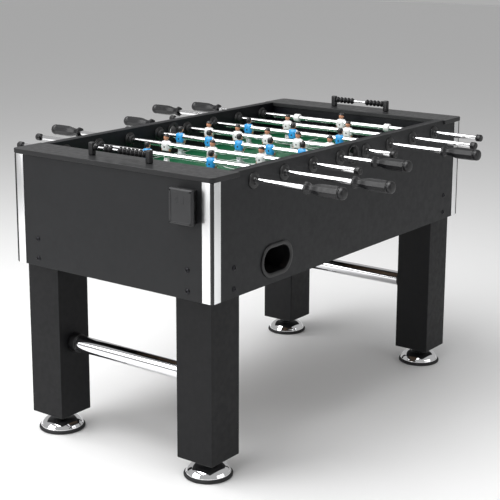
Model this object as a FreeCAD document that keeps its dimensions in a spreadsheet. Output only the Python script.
import FreeCAD, Part
import os

import Sketcher

# A full-size foosball table. +X runs along the table, +Y along the rods, +Z is up.
# The origin is on the floor under the middle of the cabinet. Lengths are in millimetres.

doc = FreeCAD.newDocument("foosball_table")

SIZES = {
    # cabinet
    "wall_length": 1384,
    "wall_width": 748,
    "table_height": 886,
    "wall_bottom": 537,
    "panel_thick": 20,
    "liner_thick": 11,
    "board_thick": 14,
    "board_depth": 119,
    "board_overhang": 6,
    "board_corner": 15,
    "goal_wall_thick": 14,
    "goal_wall_back": 4,
    "field_top": 776,
    "field_thick": 10,
    "goal_half_width": 100,
    "goal_height": 72,
    # legs and feet
    "leg_side": 125,
    "leg_skin": 12,
    "leg_bottom": 57,
    "leg_top": 640,
    "cross_tube_height": 290,
    "cross_tube_radius": 25,
    "cross_tube_skin": 1.5,
    "socket_radius": 29,
    "socket_length": 24,
    "foot_radius": 71,
    "foot_pad": 10,
    "foot_cone_radius": 66,
    "foot_cone_top": 40,
    "foot_neck_radius": 15,
    "stud_radius": 8,
    "stud_top": 85,
    "nut_radius": 12,
    "nut_bottom": 50,
    # corner guards
    "guard_width": 36,
    "guard_thick": 1.5,
    # leg bolts
    "bolt_radius": 4,
    "bolt_head_radius": 8,
    "bolt_head": 4,
    "bolt_reach": 42,
    "bolt_low": 561,
    "bolt_high": 621,
    "bolt_from_end": 95,
    "bolt_from_side": 87,
    # ball openings
    "serve_radius": 19,
    "serve_sleeve": 23.5,
    "serve_flange": 30,
    "serve_lip": 3,
    "return_x": 398,
    "return_z": 605,
    "return_length": 132,
    "return_tall": 80,
    "bezel_length": 152,
    "bezel_tall": 98,
    "bezel_lip": 4,
    "bezel_skin": 3,
    "serve_dish": 9,
    "serve_inner_lip": 2,
    # ball chutes, made of thin boards
    "chute_skin": 4,
    "trough_width": 71,
    "trough_length": 398,
    "trough_side": 24,
    "trough_low_y": 268,
    "trough_drop": 74,
    "trough_gap": 2,
    "ramp_length": 213,
    "ramp_width": 80,
    "ramp_rail_from": 84,
    "ramp_rail_height": 30,
    "ramp_drop": 80,
    "pocket_half": 68,
    "pocket_depth": 85,
    "pocket_floor": 47,
    "pocket_side": 85,
    # rods
    "rod_height": 851,
    "rod_pitch": 145.6,
    "rod_radius": 8,
    "rod_skin": 1.5,
    "rod_fit": 0.05,
    "bushing_gap": 0.3,
    "bushing_sleeve": 13,
    "bushing_flange": 24,
    "bushing_lip": 5,
    "bushing_nose": 7,
    "bumper_radius": 15,
    "bumper_length": 10,
    "handle_length": 126,
    "handle_radius": 18,
    "handle_waist": 12,
    "handle_collar": 8,
    "handle_neck": 14,
    "handle_flare": 24,
    "handle_body": 50,
    "handle_end": 8,
    "handle_end_step": 4,
    "rod_in_handle": 94,
    "cap_length": 20,
    "rod_in_cap": 15,
    "cap_radius": 11.5,
    "stop_spacing": 188,
    "stop_radius": 14,
    "stop_length": 22,
    # figures
    "head_rise": 24,
    "head_radius": 11,
    "neck_radius": 5,
    "chest_top": 12,
    "chest_bottom": 24,
    "chest_depth": 24,
    "shoulder_width": 38,
    "leg_width": 24,
    "leg_depth": 15,
    "boot_top": 54,
    "sole": 67,
    "boot_length": 27,
    "shoulder_inset": 2,
    "boot_width": 20,
    # scorers
    "post_gap": 100,
    "post_width": 18,
    "post_depth": 16,
    "post_height": 38,
    "score_rod_rise": 25,
    "score_rod_radius": 3,
    "bead_length": 15,
    "bead_radius": 11,
    "bead_waist": 7,
    # folding drink holder
    "holder_y": 287.5,
    "holder_bottom": 752,
    "holder_width": 81,
    "holder_tall": 98,
    "holder_plate": 14,
    "holder_front": 30,
    "holder_back": 5,
    "holder_corner": 5,
    "holder_seat": 34,
    "hinge_rise": 7,
    "hinge_out": 10.5,
    "pin_radius": 2.5,
    "knuckle_radius": 4.4,
    "ear_length": 6,
    "barrel_half": 27,
    "ring_radius": 36,
    "ring_skin": 3,
    "ring_deep": 9,
    "ring_rise": 3,
}

# One row for each rod, from the -X end: how many figures, which way they face,
# which side the handle is on, and how far the rod is slid along +Y at rest.
RODS = [
    {"men": 1, "faces": 1, "handle": -1, "slid": 4},
    {"men": 2, "faces": 1, "handle": -1, "slid": 14},
    {"men": 3, "faces": -1, "handle": 1, "slid": 0},
    {"men": 5, "faces": 1, "handle": -1, "slid": 6},
    {"men": 5, "faces": -1, "handle": 1, "slid": 2},
    {"men": 3, "faces": 1, "handle": -1, "slid": 0},
    {"men": 2, "faces": -1, "handle": 1, "slid": 0},
    {"men": 1, "faces": -1, "handle": 1, "slid": -5},
]

# For each kind of rod: the figures' spacing, and how far from the rod's middle
# the handle and the end cap begin.
ROD_KINDS = {
    1: {"spacing": 0, "handle_start": 549, "cap_start": 528},
    2: {"spacing": 250, "handle_start": 618, "cap_start": 587},
    3: {"spacing": 187, "handle_start": 564, "cap_start": 519},
    5: {"spacing": 122, "handle_start": 496, "cap_start": 466},
}

# Bead stacks on the two scoring rods: which end, how many beads, and where along Y
# the stack's low end is.
BEAD_STACKS = {
    "beads_near_a": {"end": -1, "count": 1, "start": 85},
    "beads_near_b": {"end": -1, "count": 2, "start": 29},
    "beads_near_c": {"end": -1, "count": 7, "start": -100},
    "beads_far_a": {"end": 1, "count": 5, "start": 25},
    "beads_far_b": {"end": 1, "count": 5, "start": -100},
}

# ---------------------------------------------------------------- size sheet

sheet = doc.addObject("Spreadsheet::Sheet", "dims")
for row, (word, value) in enumerate(SIZES.items(), start=1):
    sheet.set(f"A{row}", word)
    sheet.set(f"B{row}", str(value))
    sheet.setAlias(f"B{row}", word)
for kind, start in ROD_KINDS.items():
    for word, value in start.items():
        row += 1
        alias = f"{word}_{kind}men"
        sheet.set(f"A{row}", alias)
        sheet.set(f"B{row}", str(value))
        sheet.setAlias(f"B{row}", alias)
doc.recompute()

NODES = []
WORDS = sorted(
    list(SIZES) + [f"{w}_{k}men" for k, kind in ROD_KINDS.items() for w in kind],
    key=len,
    reverse=True,
)


def formula(text):
    """Turn plain words such as 'wall_width / 2' into an expression on the sheet."""
    out = ""
    word = ""
    for letter in str(text) + " ":
        if letter.isalnum() or letter in "_.":
            word += letter
            continue
        out += f"dims.{word}" if word in WORDS else word
        out += letter
        word = ""
    return out.strip()


def number(text):
    """The present value of such an expression, for a shape made in this file."""
    return float(sheet.evalExpression(formula(text)))


def keep(piece, label):
    """Name a finished sub-part, so that it is written to its own file."""
    piece.Label = label
    NODES.append(piece)
    return piece


def place(piece, at, turn=None):
    """Turn a piece about an axis (x, y, z, degrees) and bind where it stands."""
    if turn:
        spin = FreeCAD.Rotation(FreeCAD.Vector(*turn[:3]), turn[3])
        piece.Placement = FreeCAD.Placement(FreeCAD.Vector(), spin)
    for axis, text in zip("xyz", at):
        piece.setExpression(f".Placement.Base.{axis}", formula(text))
    return piece


def primitive(kind, name, at, turn=None, **sizes):
    piece = doc.addObject(f"Part::{kind}", name)
    for prop, text in sizes.items():
        piece.setExpression(prop, formula(text))
    return place(piece, at, turn)


def block(name, low, high):
    """A box between two corners, each given as three expressions."""
    size = [f"({b}) - ({a})" for a, b in zip(low, high)]
    return primitive("Box", name, low, Length=size[0], Width=size[1], Height=size[2])


ALONG_Y = (1, 0, 0, -90)
ALONG_X = (0, 1, 0, 90)


def rod_y(name, at, radius, length):
    """A round bar that runs towards +Y from its starting point."""
    return primitive("Cylinder", name, at, ALONG_Y, Radius=radius, Height=length)


def rod_x(name, at, radius, length):
    return primitive("Cylinder", name, at, ALONG_X, Radius=radius, Height=length)


def rod_z(name, at, radius, length):
    return primitive("Cylinder", name, at, Radius=radius, Height=length)


def cone_y(name, at, low_radius, high_radius, length):
    return primitive(
        "Cone", name, at, ALONG_Y, Radius1=low_radius, Radius2=high_radius, Height=length
    )


def fuse(name, pieces):
    whole = doc.addObject("Part::MultiFuse", name)
    whole.Shapes = pieces
    return whole


def group(name, pieces):
    """Separate solids that share one node."""
    whole = doc.addObject("Part::Compound", name)
    whole.Links = pieces
    return whole


def cut(name, base, tools):
    whole = doc.addObject("Part::Cut", name)
    whole.Base = base
    whole.Tool = tools[0] if len(tools) == 1 else group(f"{name}_tools", tools)
    return whole


def mirror(name, source, normal):
    """A mirror image across a plane through the origin."""
    image = doc.addObject("Part::Mirroring", name)
    image.Source = source
    image.Normal = FreeCAD.Vector(*normal)
    return image


ACROSS_X = (1, 0, 0)
ACROSS_Y = (0, 1, 0)


def four_corners(name, source):
    """The piece at one corner and its images at the other three."""
    other_side = mirror(f"{name}_side", source, ACROSS_Y)
    other_end = mirror(f"{name}_end", source, ACROSS_X)
    opposite = mirror(f"{name}_opposite", other_side, ACROSS_X)
    return [source, other_side, other_end, opposite]


def half_turn(name, source):
    """The same piece turned half a turn about the table's upright middle axis."""
    side = mirror(f"{name}_half", source, ACROSS_Y)
    return mirror(f"{name}_turned", side, ACROSS_X)


def copies(label, shape, spots):
    """Equal solids of one shape at several places, as one node."""
    piece = doc.addObject("Part::Feature", label)
    solids = [shape.translated(FreeCAD.Vector(*spot)) for spot in spots]
    piece.Shape = Part.makeCompound(solids)
    return keep(piece, label)


def origin_plane(body, role):
    for feature in body.Origin.OriginFeatures:
        if feature.Role == role:
            return feature
    raise ValueError(role)


def outline(body, name, role, corners):
    """A closed sketch whose corners are bound to the sheet. No corner lies on an axis."""
    sketch = body.newObject("Sketcher::SketchObject", name)
    sketch.AttachmentSupport = [(origin_plane(body, role), "")]
    sketch.MapMode = "FlatFace"
    count = len(corners)
    spots = [FreeCAD.Vector(number(u), number(v), 0) for u, v in corners]
    for index in range(count):
        after = (index + 1) % count
        sketch.addGeometry(Part.LineSegment(spots[index], spots[after]), False)
    for index in range(count):
        after = (index + 1) % count
        sketch.addConstraint(Sketcher.Constraint("Coincident", index, 2, after, 1))
    for index, words in enumerate(corners):
        for way, text in zip(("DistanceX", "DistanceY"), words):
            rule = Sketcher.Constraint(way, -1, 1, index, 1, number(text))
            where = sketch.addConstraint(rule)
            sketch.setExpression(f"Constraints[{where}]", formula(text))
    return sketch


HALF_LENGTH = "wall_length / 2"
HALF_WIDTH = "wall_width / 2"
BOARD_EDGE = "(wall_length / 2 + board_overhang - board_depth)"
PANEL_IN_X = "(wall_length / 2 - panel_thick)"
PANEL_IN_Y = "(wall_width / 2 - panel_thick)"
LINER_IN_Y = "(wall_width / 2 - panel_thick - liner_thick)"
BOARD_BOTTOM = "(table_height - board_thick)"
BOLT_HOLE = "bolt_radius + rod_fit"
GOAL_IN = f"({BOARD_EDGE} + goal_wall_back)"
GOAL_OUT = f"({BOARD_EDGE} + goal_wall_back + goal_wall_thick)"
ROD_HOLE = "rod_radius + rod_fit"
ROD_X = [f"{index - 3.5} * rod_pitch" for index in range(8)]


# ---------------------------------------------------------------- cabinet


def obround(name, at, length, tall, depth):
    """An upright slot with round ends, that runs towards +Y."""
    middle = block(
        f"{name}_flat",
        (f"{at[0]} - ({length} - {tall}) / 2", at[1], f"{at[2]} - {tall} / 2"),
        (f"{at[0]} + ({length} - {tall}) / 2", f"{at[1]} + {depth}", f"{at[2]} + {tall} / 2"),
    )
    ends = [
        rod_y(
            f"{name}_round_{word}",
            (f"{at[0]} {sign} ({length} - {tall}) / 2", at[1], at[2]),
            f"{tall} / 2",
            depth,
        )
        for word, sign in (("low", "-"), ("high", "+"))
    ]
    return fuse(name, [middle] + ends)


def wall_holes(name, low_y, depth, radius):
    """The eight rod holes through one long wall."""
    return [
        rod_y(f"{name}_hole_{index}", (x, low_y, "rod_height"), radius, depth)
        for index, x in enumerate(ROD_X, start=1)
    ]


def side_panel():
    outside = f"-{HALF_WIDTH}"
    panel = block(
        "side_board",
        (f"-{HALF_LENGTH}", outside, "wall_bottom"),
        (HALF_LENGTH, f"-{PANEL_IN_Y}", "table_height"),
    )
    start = f"{outside} - 1"
    depth = "panel_thick + 2"
    rebates = []
    for word, low, high in (
        ("near", f"-{HALF_LENGTH} - 1", f"-{BOARD_EDGE}"),
        ("far", BOARD_EDGE, f"{HALF_LENGTH} + 1"),
    ):
        rebates.append(
            block(
                f"board_seat_{word}",
                (low, start, BOARD_BOTTOM),
                (high, f"{start} + {depth}", "table_height + 1"),
            )
        )
    holes = wall_holes("panel", start, depth, "bushing_sleeve")
    holes.append(rod_y("panel_serve", ("0", start, "rod_height"), "serve_sleeve", depth))
    holes.append(
        obround(
            "panel_return",
            ("-return_x", start, "return_z"),
            "return_length",
            "return_tall",
            depth,
        )
    )
    for end, sign in (("near", "-"), ("far", "")):
        for level in ("bolt_low", "bolt_high"):
            spot = (f"{sign}({HALF_LENGTH} - bolt_from_end)", start, level)
            holes.append(rod_y(f"panel_{end}_{level}", spot, BOLT_HOLE, depth))
    return cut("side_panel", panel, rebates + holes)


right_panel = keep(side_panel(), "side_panel_right")
keep(half_turn("left_panel", right_panel), "side_panel_left")


def end_panel(name, sign):
    inner = f"{sign}{PANEL_IN_X}"
    outer = f"{sign}{HALF_LENGTH}"
    low_x, high_x = (outer, inner) if sign == "-" else (inner, outer)
    panel = block(
        f"{name}_board",
        (low_x, f"-{PANEL_IN_Y}", "wall_bottom"),
        (high_x, PANEL_IN_Y, BOARD_BOTTOM),
    )
    holes = []
    for side in ("-", ""):
        for level in ("bolt_low", "bolt_high"):
            spot = (f"{low_x} - 1", f"{side}({HALF_WIDTH} - bolt_from_side)", level)
            label = f"{name}_{'right' if side else 'left'}_{level}"
            holes.append(rod_x(label, spot, BOLT_HOLE, "panel_thick + 2"))
    return cut(name, panel, holes)


end_panels = [end_panel("end_near", "-"), end_panel("end_far", "")]
keep(group("both_end_panels", end_panels), "end_panels")


def end_board():
    """The flat board on top of one end, with its two outer corners rounded."""
    body = doc.addObject("PartDesign::Body", "end_board")
    half = f"{HALF_WIDTH} + board_overhang"
    outer = f"-{HALF_LENGTH} - board_overhang"
    corners = [
        (outer, f"-({half})"),
        (f"-{BOARD_EDGE}", f"-({half})"),
        (f"-{BOARD_EDGE}", half),
        (outer, half),
    ]
    sketch = outline(body, "end_board_outline", "XY_Plane", corners)
    pad = body.newObject("PartDesign::Pad", "end_board_pad")
    pad.Profile = sketch
    pad.setExpression("Length", formula("board_thick"))
    doc.recompute()
    edges = []
    for index, edge in enumerate(pad.Shape.Edges, start=1):
        box = edge.BoundBox
        upright = box.ZLength > number("board_thick") / 2
        if upright and box.XMin < number(outer) + 1:
            edges.append(f"Edge{index}")
    fillet = body.newObject("PartDesign::Fillet", "end_board_corners")
    fillet.Base = (pad, edges)
    fillet.setExpression("Radius", formula("board_corner"))
    body.Tip = fillet
    return place(body, ("0", "0", BOARD_BOTTOM))


near_board = end_board()
far_board = mirror("end_board_far", near_board, ACROSS_X)
keep(group("both_end_boards", [near_board, far_board]), "end_boards")

keep(
    block(
        "field_board",
        (f"-{GOAL_OUT}", f"-{PANEL_IN_Y}", "field_top - field_thick"),
        (GOAL_OUT, PANEL_IN_Y, "field_top"),
    ),
    "playfield",
)


def goal_wall():
    """The inner end wall, with an arched goal mouth down to the field."""
    wall = block(
        "goal_board",
        (f"-{GOAL_OUT}", f"-{PANEL_IN_Y}", "field_top"),
        (f"-{GOAL_IN}", PANEL_IN_Y, BOARD_BOTTOM),
    )
    start = f"-{GOAL_OUT} - 1"
    depth = "goal_wall_thick + 2"
    corner = "goal_height / 2"
    mouth = fuse(
        "goal_mouth",
        [
            block(
                "goal_mouth_low",
                (start, "-goal_half_width", "field_top - 1"),
                (f"{start} + {depth}", "goal_half_width", f"field_top + {corner}"),
            ),
            block(
                "goal_mouth_high",
                (start, f"-goal_half_width + {corner}", "field_top"),
                (f"{start} + {depth}", f"goal_half_width - {corner}", "field_top + goal_height"),
            ),
            rod_x(
                "goal_mouth_left",
                (start, f"goal_half_width - {corner}", f"field_top + {corner}"),
                corner,
                depth,
            ),
            rod_x(
                "goal_mouth_right",
                (start, f"-goal_half_width + {corner}", f"field_top + {corner}"),
                corner,
                depth,
            ),
        ],
    )
    return cut("goal_wall", wall, [mouth])


def side_liner():
    """The inner board of one long wall, above the field."""
    liner = block(
        "liner_board",
        (f"-{BOARD_EDGE}", f"-{PANEL_IN_Y}", "field_top"),
        (BOARD_EDGE, f"-{LINER_IN_Y}", "table_height"),
    )
    start = f"-{PANEL_IN_Y} - 1"
    depth = "liner_thick + 2"
    holes = wall_holes("liner", start, depth, "bushing_sleeve")
    holes.append(rod_y("liner_serve", ("0", start, "rod_height"), "serve_sleeve", depth))
    return cut("side_liner", liner, holes)


goal_near = goal_wall()
liner_right = side_liner()
inner_walls = [
    goal_near,
    mirror("goal_wall_far", goal_near, ACROSS_X),
    liner_right,
    mirror("side_liner_left", liner_right, ACROSS_Y),
]
keep(group("inner_boards", inner_walls), "inner_walls")


def corner_guard():
    """A thin metal angle over one upright corner, from the wall's foot to the board."""
    low = "wall_bottom + 1"
    high = f"{BOARD_BOTTOM} - 1"
    outer_x = f"-{HALF_LENGTH} - guard_thick"
    outer_y = f"-{HALF_WIDTH} - guard_thick"
    end_leaf = block(
        "guard_end_leaf",
        (outer_x, outer_y, low),
        (f"-{HALF_LENGTH}", f"{outer_y} + guard_width", high),
    )
    side_leaf = block(
        "guard_side_leaf",
        (outer_x, outer_y, low),
        (f"{outer_x} + guard_width", f"-{HALF_WIDTH}", high),
    )
    return fuse("corner_guard", [end_leaf, side_leaf])


keep(group("corner_guards", four_corners("guard", corner_guard())), "corner_guards")


# ---------------------------------------------------------------- legs and feet

LEG_X = f"({PANEL_IN_X} - leg_side / 2)"
LEG_Y = f"({PANEL_IN_Y} - leg_side / 2)"


def leg():
    """A square box leg, open at the top, with a threaded hole in its foot board."""
    outer = block(
        "leg_outer",
        (f"-{PANEL_IN_X}", f"-{PANEL_IN_Y}", "leg_bottom"),
        (f"-{PANEL_IN_X} + leg_side", f"-{PANEL_IN_Y} + leg_side", "leg_top"),
    )
    inner = block(
        "leg_inner",
        (f"-{PANEL_IN_X} + leg_skin", f"-{PANEL_IN_Y} + leg_skin", "leg_bottom + leg_skin"),
        (
            f"-{PANEL_IN_X} + leg_side - leg_skin",
            f"-{PANEL_IN_Y} + leg_side - leg_skin",
            "leg_top + 1",
        ),
    )
    holes = [
        rod_z(
            "leg_stud_hole",
            (f"-{LEG_X}", f"-{LEG_Y}", "leg_bottom - 1"),
            "stud_radius + rod_fit",
            "leg_skin + 2",
        )
    ]
    for level in ("bolt_low", "bolt_high"):
        end_spot = (f"-{PANEL_IN_X} - 1", f"-({HALF_WIDTH} - bolt_from_side)", level)
        side_spot = (f"-({HALF_LENGTH} - bolt_from_end)", f"-{PANEL_IN_Y} - 1", level)
        depth = "leg_skin + 2"
        holes.append(rod_x(f"leg_end_{level}", end_spot, BOLT_HOLE, depth))
        holes.append(rod_y(f"leg_side_{level}", side_spot, BOLT_HOLE, depth))
    return cut("leg", outer, [inner] + holes)


keep(group("four_legs", four_corners("leg", leg())), "legs")


def leg_bolts():
    """The four bolts that hold one leg: round heads outside, shanks into the leg."""
    bolts = []
    for level in ("bolt_low", "bolt_high"):
        spot = (f"-{HALF_LENGTH}", f"-({HALF_WIDTH} - bolt_from_side)", level)
        head_spot = (f"-{HALF_LENGTH} - bolt_head", spot[1], level)
        head = rod_x(f"end_head_{level}", head_spot, "bolt_head_radius", "bolt_head")
        shank = rod_x(f"end_shank_{level}", spot, "bolt_radius", "bolt_reach")
        bolts.append(fuse(f"end_bolt_{level}", [head, shank]))
        spot = (f"-({HALF_LENGTH} - bolt_from_end)", f"-{HALF_WIDTH}", level)
        head_spot = (spot[0], f"-{HALF_WIDTH} - bolt_head", level)
        head = rod_y(f"side_head_{level}", head_spot, "bolt_head_radius", "bolt_head")
        shank = rod_y(f"side_shank_{level}", spot, "bolt_radius", "bolt_reach")
        bolts.append(fuse(f"side_bolt_{level}", [head, shank]))
    return bolts


bolt_sets = []
for number_of_bolt, bolt in enumerate(leg_bolts(), start=1):
    bolt_sets += four_corners(f"bolt_{number_of_bolt}", bolt)
keep(group("all_leg_bolts", bolt_sets), "leg_bolts")


def cross_tube():
    """A steel tube between the two legs of one end."""
    low = f"-({LEG_Y} - leg_side / 2 - 4)"
    length = f"2 * ({LEG_Y} - leg_side / 2 - 4)"
    spot = (f"-{LEG_X}", low, "cross_tube_height")
    outer = rod_y("tube_outer", spot, "cross_tube_radius", length)
    bore = rod_y(
        "tube_bore",
        (spot[0], f"{low} - 1", spot[2]),
        "cross_tube_radius - cross_tube_skin",
        f"{length} + 2",
    )
    return cut("cross_tube", outer, [bore])


near_tube = cross_tube()
tubes = [near_tube, mirror("cross_tube_far", near_tube, ACROSS_X)]
keep(group("both_cross_tubes", tubes), "cross_tubes")


def tube_socket():
    """A cup on the leg that the cross tube's end sits in."""
    leg_face = f"-({LEG_Y} - leg_side / 2)"
    spot = (f"-{LEG_X}", leg_face, "cross_tube_height")
    outer = rod_y("socket_outer", spot, "socket_radius", "socket_length")
    bore = rod_y(
        "socket_bore",
        (spot[0], f"{leg_face} + 4", spot[2]),
        "cross_tube_radius",
        "socket_length",
    )
    return cut("tube_socket", outer, [bore])


keep(group("tube_cups", four_corners("socket", tube_socket())), "tube_sockets")


def leveller():
    """A screw foot: a rubber pad under a domed disc with a nut and a stud."""
    body = doc.addObject("PartDesign::Body", "foot_disc")
    bore = "1"
    neck = "foot_neck_radius"
    corners = [
        (bore, "foot_pad"),
        ("foot_cone_radius", "foot_pad"),
        ("foot_cone_radius", "foot_pad + 5"),
        ("foot_cone_radius * 0.72", "foot_pad + 17"),
        (f"{neck} + 10", "foot_cone_top"),
        (neck, "foot_cone_top"),
        (neck, "nut_bottom"),
        ("nut_radius", "nut_bottom"),
        ("nut_radius", "leg_bottom - 0.2"),
        ("stud_radius", "leg_bottom - 0.2"),
        ("stud_radius", "stud_top"),
        (bore, "stud_top"),
    ]
    sketch = outline(body, "foot_outline", "XZ_Plane", corners)
    turned = body.newObject("PartDesign::Revolution", "foot_turned")
    turned.Profile = sketch
    turned.ReferenceAxis = (sketch, ["V_Axis"])
    turned.Angle = 360
    body.Tip = turned
    place(body, (f"-{LEG_X}", f"-{LEG_Y}", "0"))
    pad = rod_z("foot_pad_disc", (f"-{LEG_X}", f"-{LEG_Y}", "0"), "foot_radius", "foot_pad")
    return group("leveller", [pad, body])


CORNER_NAMES = ["near_right", "near_left", "far_right", "far_left"]
for piece, corner_name in zip(four_corners("foot", leveller()), CORNER_NAMES):
    keep(piece, f"leveller_{corner_name}")


# ---------------------------------------------------------------- ball path


def tilted_boards(name, boards, at, turn):
    """Thin boards given in their own frame, then turned and moved together."""
    tilted = []
    for word, low, size in boards:
        board = primitive(
            "Box", f"{name}_{word}", low, Length=size[0], Width=size[1], Height=size[2]
        )
        tilted.append(place(group(f"{name}_{word}_set", [board]), at, turn))
    return tilted


def trough():
    """The tilted channel behind a goal, in which the ball rolls towards the ramp."""
    boards = [
        ("floor", ("0", "0", "0"), ("trough_width", "trough_length", "chute_skin")),
        ("outer", ("0", "0", "chute_skin"), ("chute_skin", "trough_length", "trough_side")),
        (
            "inner",
            ("trough_width - chute_skin", "0", "chute_skin"),
            ("chute_skin", "trough_length", "trough_side"),
        ),
        (
            "stop",
            ("chute_skin", "trough_length - chute_skin", "chute_skin"),
            ("trough_width - 2 * chute_skin", "chute_skin", "trough_side"),
        ),
    ]
    at = (f"-{GOAL_OUT} - trough_width - trough_gap", "-trough_low_y", "field_top - trough_drop")
    return tilted_boards("trough", boards, at, (1, 0, 0, 5))


def ramp():
    """The slope along the long wall that takes the ball from the trough to the pocket."""
    boards = [
        ("floor", ("0", "0", "0"), ("ramp_length", "ramp_width", "chute_skin")),
        (
            "rail",
            ("ramp_rail_from", "ramp_width - chute_skin", "chute_skin"),
            ("ramp_length - ramp_rail_from", "chute_skin", "ramp_rail_height"),
        ),
    ]
    at = (f"-{PANEL_IN_X} + 4", f"-{PANEL_IN_Y} + 1", "field_top - ramp_drop")
    return tilted_boards("ramp", boards, at, (0, 1, 0, 12))


def pocket():
    """The open-topped tray behind a ball return, where the balls come to rest."""
    low_y = f"-{PANEL_IN_Y} + 1"
    back = f"-{PANEL_IN_Y} + pocket_depth"
    floor = "return_z - pocket_floor"
    top = f"{floor} + pocket_side"
    left = "-return_x - pocket_half"
    right = "-return_x + pocket_half"
    return [
        block("pocket_base", (left, low_y, floor), (right, back, f"{floor} + chute_skin")),
        block(
            "pocket_low_side",
            (left, low_y, f"{floor} + chute_skin"),
            (f"{left} + chute_skin", back, top),
        ),
        block(
            "pocket_high_side",
            (f"{right} - chute_skin", low_y, f"{floor} + chute_skin"),
            (right, back, top),
        ),
        block(
            "pocket_back",
            (f"{left} + chute_skin", f"{back} - chute_skin", f"{floor} + chute_skin"),
            (f"{right} - chute_skin", back, top),
        ),
    ]


chutes = trough() + ramp() + pocket()
turned_chutes = [half_turn(f"chute_{index}", piece) for index, piece in enumerate(chutes)]
keep(group("both_chutes", chutes + turned_chutes), "ball_chutes")


def return_bezel():
    """The raised rim of the ball return, with a collar through the wall."""
    outside = f"-{HALF_WIDTH}"
    spot = ("-return_x", f"{outside} - bezel_lip", "return_z")
    rim = obround("bezel_rim", spot, "bezel_length", "bezel_tall", "bezel_lip")
    collar = obround(
        "bezel_collar",
        ("-return_x", outside, "return_z"),
        "return_length",
        "return_tall",
        "panel_thick",
    )
    opening = obround(
        "bezel_opening",
        ("-return_x", f"{outside} - bezel_lip - 1", "return_z"),
        "(return_length - 2 * bezel_skin)",
        "(return_tall - 2 * bezel_skin)",
        "panel_thick + bezel_lip + 2",
    )
    return cut("return_bezel", fuse("bezel_solid", [rim, collar]), [opening])


right_bezel = return_bezel()
bezels = [right_bezel, half_turn("bezel", right_bezel)]
keep(group("both_bezels", bezels), "return_bezels")


def serve_cup():
    """The dished ring that a ball is served through, one in each long wall."""
    lip = f"-{HALF_WIDTH} - serve_lip"
    inside = f"-{LINER_IN_Y}"
    solids = [
        rod_y("serve_flange_ring", ("0", lip, "rod_height"), "serve_flange", "serve_lip"),
        rod_y(
            "serve_body",
            ("0", f"-{HALF_WIDTH}", "rod_height"),
            "serve_sleeve",
            "panel_thick + liner_thick",
        ),
        rod_y("serve_inner_ring", ("0", inside, "rod_height"), "serve_flange", "serve_inner_lip"),
    ]
    bore = rod_y(
        "serve_bore",
        ("0", f"{lip} - 1", "rod_height"),
        "serve_radius",
        "panel_thick + liner_thick + serve_lip + serve_inner_lip + 2",
    )
    dish = cone_y(
        "serve_dish_cone",
        ("0", f"{lip} - 0.01", "rod_height"),
        "serve_sleeve",
        "serve_radius",
        "serve_lip + serve_dish",
    )
    return cut("serve_cup", fuse("serve_solid", solids), [fuse("serve_void", [bore, dish])])


right_cup = serve_cup()
serve_cups = [right_cup, mirror("serve_cup_left", right_cup, ACROSS_Y)]
keep(group("both_serve_cups", serve_cups), "serve_cups")


# ---------------------------------------------------------------- rods


def bushing():
    """A plastic bearing through one wall: outer flange and nose, inner flange and bumper."""
    outside = f"-{HALF_WIDTH}"
    inside = f"-{LINER_IN_Y}"

    def step(word, start, radius, length):
        return rod_y(f"bushing_{word}", ("0", start, "0"), radius, length)

    def taper(word, start, low_radius, high_radius, length):
        return cone_y(f"bushing_{word}", ("0", start, "0"), low_radius, high_radius, length)

    parts = [
        step("sleeve_bar", outside, "bushing_sleeve", "panel_thick + liner_thick"),
        step("outer_lip", f"{outside} - bushing_lip", "bushing_flange", "bushing_lip"),
        taper(
            "outer_nose",
            f"{outside} - bushing_lip - bushing_nose",
            "bushing_sleeve - 2.5",
            "bushing_sleeve + 2",
            "bushing_nose",
        ),
        taper("inner_lip", inside, "bushing_flange", "bushing_flange - 5", "bushing_lip"),
        step("bumper", f"{inside} + bushing_lip", "bumper_radius", "bumper_length"),
    ]
    bore = step("bore", f"{outside} - 20", "rod_radius + bushing_gap", "panel_thick + 60")
    return cut("bushing", fuse("bushing_solid", parts), [bore])


one_bushing = bushing()
other_bushing = mirror("bushing_left", one_bushing, ACROSS_Y)
doc.recompute()
both_bushings = Part.makeCompound([one_bushing.Shape, other_bushing.Shape])
bushings = doc.addObject("Part::Feature", "bushing_row")
bushings.Shape = Part.makeCompound(
    [
        solid.translated(FreeCAD.Vector(number(x), 0, number("rod_height")))
        for x in ROD_X
        for solid in both_bushings.Solids
    ]
)
keep(bushings, "rod_bushings")


def figure():
    """One plain player, upright on the rod's axis and facing +X, bored for the rod."""
    parts = [
        primitive("Sphere", "head", ("0", "0", "head_rise"), Radius="head_radius"),
        rod_z("neck", ("0", "0", "0"), "neck_radius", "head_rise"),
        block(
            "chest",
            ("-chest_depth / 2", "-leg_width / 2", "-chest_bottom"),
            ("chest_depth / 2", "leg_width / 2", "chest_top"),
        ),
        block(
            "shoulders",
            ("-chest_depth / 2 + shoulder_inset", "-shoulder_width / 2", "-chest_top"),
            (
                "chest_depth / 2 - shoulder_inset",
                "shoulder_width / 2",
                "chest_top - shoulder_inset",
            ),
        ),
        block(
            "shins",
            ("-leg_depth / 2", "-boot_width / 2", "-boot_top"),
            ("leg_depth / 2", "boot_width / 2", "-chest_bottom"),
        ),
        block(
            "boots",
            ("-leg_depth / 2", "-boot_width / 2", "-sole"),
            ("boot_length - leg_depth / 2", "boot_width / 2", "-boot_top"),
        ),
    ]
    bore = rod_y("figure_bore", ("0", "-40", "0"), ROD_HOLE, "80")
    return cut("figure", fuse("figure_solid", parts), [bore])


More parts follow.
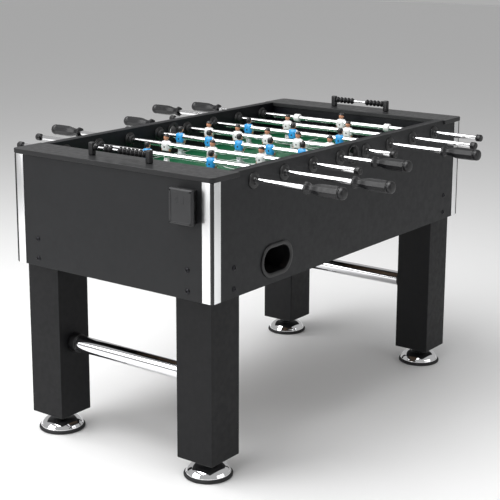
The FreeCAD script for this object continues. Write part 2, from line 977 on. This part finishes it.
def stop_collar():
    """A clamped collar that keeps the goalkeeper's rod short of the walls."""
    ring = rod_y("stop_ring", ("0", "-stop_length / 2", "0"), "stop_radius", "stop_length")
    screw = rod_z("stop_screw", ("0", "0", "stop_radius - 3"), "3", "5")
    bore = rod_y("stop_bore", ("0", "-40", "0"), ROD_HOLE, "80")
    return cut("stop_collar", fuse("stop_solid", [ring, screw]), [bore])


forward = figure()
backward = mirror("figure_backward", forward, ACROSS_X)
collar = stop_collar()
doc.recompute()


HANDLE_STEPS = [
    # where each step begins and ends, and its radius at either end
    ("0", "handle_collar", "handle_radius", "handle_radius - 1"),
    ("handle_collar", "handle_neck", "handle_radius - 1", "handle_waist"),
    ("handle_neck", "handle_flare", "handle_waist", "handle_waist"),
    ("handle_flare", "handle_body", "handle_waist", "handle_radius"),
    ("handle_body", "handle_length - handle_end", "handle_radius", "handle_radius"),
    (
        "handle_length - handle_end",
        "handle_length",
        "handle_radius",
        "handle_radius - handle_end_step",
    ),
]


def handle(name, x, start, side):
    """A grip over the rod's end: flared collar, waist, long body and rounded end."""
    parts = []
    for index, (low, high, first, last) in enumerate(HANDLE_STEPS):
        at = (x, f"{start} + {low}" if side > 0 else f"{start} - ({high})", "rod_height")
        step = f"{name}_step_{index}"
        length = f"({high}) - ({low})"
        if first == last:
            parts.append(rod_y(step, at, first, length))
        elif side > 0:
            parts.append(cone_y(step, at, first, last, length))
        else:
            parts.append(cone_y(step, at, last, first, length))
    low = f"{start} - 1" if side > 0 else f"{start} - rod_in_handle - 1"
    bore = rod_y(f"{name}_bore", (x, low, "rod_height"), ROD_HOLE, "rod_in_handle + 2")
    return cut(name, fuse(f"{name}_solid", parts), [bore])


def end_cap(name, x, start, side):
    """The plug on the rod's plain end."""
    low = start if side > 0 else f"{start} - cap_length"
    solid = rod_y(f"{name}_solid", (x, low, "rod_height"), "cap_radius", "cap_length")
    low = f"{start} - 1" if side > 0 else f"{start} - rod_in_cap - 1"
    bore = rod_y(f"{name}_bore", (x, low, "rod_height"), ROD_HOLE, "rod_in_cap + 2")
    return cut(name, solid, [bore])


def rod_set(index, rod):
    """Tube, handle, end cap and figures of one rod."""
    name = f"rod_{index}"
    x = ROD_X[index - 1]
    kind = rod["men"]
    side = rod["handle"]
    slid = rod["slid"]
    sign = "+" if side > 0 else "-"
    back = "-" if side > 0 else "+"
    grip_start = f"{slid} {sign} handle_start_{kind}men"
    cap_start = f"{slid} {back} cap_start_{kind}men"
    length = f"handle_start_{kind}men + cap_start_{kind}men + rod_in_handle + rod_in_cap"
    low = f"{cap_start} - rod_in_cap" if side > 0 else f"{grip_start} - rod_in_handle"
    outer = rod_y(f"{name}_outer", (x, low, "rod_height"), "rod_radius", length)
    bore = rod_y(
        f"{name}_inner", (x, f"{low} - 1", "rod_height"), "rod_radius - rod_skin", f"{length} + 2"
    )
    keep(cut(f"{name}_cut", outer, [bore]), f"{name}_tube")
    keep(handle(f"{name}_grip", x, grip_start, side), f"{name}_handle")
    keep(end_cap(f"{name}_plug", x, cap_start, -side), f"{name}_cap")
    man = forward if rod["faces"] > 0 else backward
    spacing = number(f"spacing_{kind}men")
    middle = (kind - 1) / 2
    shapes = []
    for place_in_row in range(kind):
        y = slid + (place_in_row - middle) * spacing
        spot = FreeCAD.Vector(number(x), y, number("rod_height"))
        shapes.append(man.Shape.translated(spot))
    if kind == 1:
        for way in (-1, 1):
            y = slid + way * number("stop_spacing")
            spot = FreeCAD.Vector(number(x), y, number("rod_height"))
            shapes.append(collar.Shape.translated(spot))
    men = doc.addObject("Part::Feature", f"{name}_men")
    solids = [solid for shape in shapes for solid in shape.Solids]
    men.Shape = Part.makeCompound(solids)
    keep(men, f"{name}_figures")


for index, rod in enumerate(RODS, start=1):
    rod_set(index, rod)


# ---------------------------------------------------------------- scorers

POST_X = f"({HALF_LENGTH} + board_overhang - board_depth / 2)"
SCORE_Z = "table_height + score_rod_rise"


def scorer_frame(name, sign):
    """Two posts on the end board and the thin rod that they hold."""
    x = f"{sign}{POST_X}"
    posts = [
        block(
            f"{name}_post_{word}",
            (f"{x} - post_depth / 2", low, "table_height"),
            (f"{x} + post_depth / 2", f"{low} + post_width", "table_height + post_height"),
        )
        for word, low in (("right", "-post_gap - post_width"), ("left", "post_gap"))
    ]
    spot = (x, "-post_gap - post_width / 2", SCORE_Z)
    length = "2 * post_gap + post_width"
    hole = rod_y(f"{name}_hole", spot, "score_rod_radius", length)
    thin = rod_y(f"{name}_thin_rod", spot, "score_rod_radius", length)
    return [cut(f"{name}_posts_bored", group(f"{name}_posts", posts), [hole]), thin]


near_frame = scorer_frame("score_near", "-")
far_frame = scorer_frame("score_far", "")
keep(group("both_scorers", near_frame + far_frame), "scorer_frames")


def bead():
    """A scoring bead: two cones base to base, with a hole for the thin rod."""
    half = "bead_length / 2 - 0.1"
    parts = [
        cone_y("bead_low", ("0", "0.1", "0"), "bead_waist", "bead_radius", half),
        cone_y("bead_high", ("0", "bead_length / 2", "0"), "bead_radius", "bead_waist", half),
    ]
    bore = rod_y("bead_bore", ("0", "-1", "0"), "score_rod_radius + bushing_gap", "bead_length + 2")
    return cut("bead", fuse("bead_solid", parts), [bore])


one_bead = bead()
doc.recompute()
for label, stack in BEAD_STACKS.items():
    x = stack["end"] * number(POST_X)
    spots = [
        (x, stack["start"] + step * number("bead_length"), number(SCORE_Z))
        for step in range(stack["count"])
    ]
    copies(label, one_bead.Shape, spots)


# ---------------------------------------------------------------- drink holder

HINGE_X = f"(-{HALF_LENGTH} - hinge_out)"
HINGE_Z = "(holder_bottom + hinge_rise)"


def holder_bracket():
    """The back plate on the end wall, with two ears and the hinge pin between them."""
    wall = f"-{HALF_LENGTH}"
    front = f"{wall} - holder_back"
    parts = [
        block(
            "bracket_plate",
            (front, "-holder_y - holder_seat", f"{HINGE_Z} - knuckle_radius"),
            (wall, "-holder_y + holder_seat", "holder_bottom + holder_tall - 3"),
        ),
        rod_y(
            "hinge_pin",
            (HINGE_X, "-holder_y - holder_seat + 1", HINGE_Z),
            "pin_radius",
            "2 * holder_seat - 2",
        ),
    ]
    ears = {"right": "-holder_y - holder_seat", "left": "-holder_y + holder_seat - ear_length"}
    for word, low in ears.items():
        ear = block(
            f"ear_{word}",
            (HINGE_X, low, f"{HINGE_Z} - knuckle_radius"),
            (front, f"{low} + ear_length", f"{HINGE_Z} + knuckle_radius"),
        )
        knuckle = rod_y(
            f"ear_round_{word}", (HINGE_X, low, HINGE_Z), "knuckle_radius", "ear_length"
        )
        parts += [ear, knuckle]
    return fuse("bracket", parts)


near_bracket = holder_bracket()
brackets = [near_bracket, half_turn("bracket", near_bracket)]
keep(group("both_brackets", brackets), "holder_brackets")


def holder_tray():
    """The flap that swings down, with a ring on its inner face that takes a cup."""
    front = f"-{HALF_LENGTH} - holder_front"
    inner_face = f"{front} + holder_plate"
    plate = block(
        "flap",
        (front, "-holder_y - holder_width / 2", "holder_bottom"),
        (inner_face, "-holder_y + holder_width / 2", "holder_bottom + holder_tall"),
    )
    doc.recompute()
    along_x = [
        index
        for index, edge in enumerate(plate.Shape.Edges, start=1)
        if edge.BoundBox.XLength > number("holder_plate") / 2
    ]
    corner = number("holder_corner")
    rounded = doc.addObject("Part::Fillet", "flap_rounded")
    rounded.Base = plate
    rounded.Edges = [(index, corner, corner) for index in along_x]
    middle = "(holder_bottom + holder_tall / 2 + ring_rise)"
    ring = rod_x(
        "cup_ring", (f"{inner_face} - 1", "-holder_y", middle), "ring_radius", "ring_deep + 1"
    )
    recess = rod_x(
        "cup_recess", (inner_face, "-holder_y", middle), "ring_radius - ring_skin", "ring_deep + 1"
    )
    barrel = rod_y(
        "barrel", (HINGE_X, "-holder_y - barrel_half", HINGE_Z), "knuckle_radius", "2 * barrel_half"
    )
    web = block(
        "barrel_web",
        (f"{inner_face} - 1", "-holder_y - barrel_half", f"{HINGE_Z} - knuckle_radius"),
        (HINGE_X, "-holder_y + barrel_half", f"{HINGE_Z} + knuckle_radius"),
    )
    bore = rod_y(
        "barrel_bore",
        (HINGE_X, "-holder_y - holder_seat", HINGE_Z),
        "pin_radius + rod_fit",
        "2 * holder_seat",
    )
    open_ring = cut("open_ring", ring, [recess])
    return cut("tray", fuse("tray_solid", [rounded, open_ring, barrel, web]), [bore])


near_tray = keep(holder_tray(), "holder_tray_near")
keep(half_turn("tray", near_tray), "holder_tray_far")


# ---------------------------------------------------------------- checks and files

doc.recompute()
for piece in doc.Objects:
    if "Invalid" in piece.State or "Error" in piece.State:
        raise RuntimeError(f"{piece.Label} did not compute: {piece.State}")

labels = [piece.Label for piece in NODES]
if len(set(labels)) != len(labels):
    raise RuntimeError("two sub-parts share a name")

os.makedirs("parts", exist_ok=True)
for piece in NODES:
    shape = piece.Shape
    if shape.isNull() or not shape.isValid() or not shape.Solids:
        raise RuntimeError(f"{piece.Label} has no valid shape")

for piece in NODES:
    piece.Shape.exportStep(f"parts/{piece.Label}.step")

print(len(NODES), "sub-parts,", sum(len(piece.Shape.Solids) for piece in NODES), "solids")
